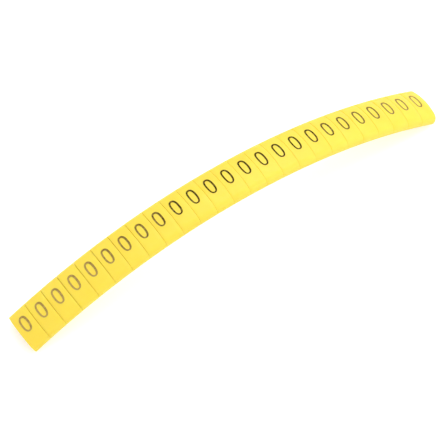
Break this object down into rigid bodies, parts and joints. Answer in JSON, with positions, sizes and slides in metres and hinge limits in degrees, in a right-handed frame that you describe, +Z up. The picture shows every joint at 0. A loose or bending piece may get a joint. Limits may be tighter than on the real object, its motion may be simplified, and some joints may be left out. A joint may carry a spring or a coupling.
{
  "type": "cable marker strip",
  "caption": "Arched strip of yellow oval slide-on cable markers, each printed with a zero and cut almost through, so single markers tear off and slide onto a wire.",
  "frame": {"origin": "on the ground under the middle of the arch, midway between the two ends it stands on", "axes": "+X along the chord of the strip, +Y across the oval, +Z up through the crest of the printed face"},
  "size_m": [0.0728, 0.0068, 0.0107],
  "materials": {
    "yellow_pvc": "satin flexible PVC",
    "dark_ink": "thin printed ink"
  },
  "bodies": {
    "root": {"marker_strip": "yellow_pvc"}
  },
  "joints": []
}
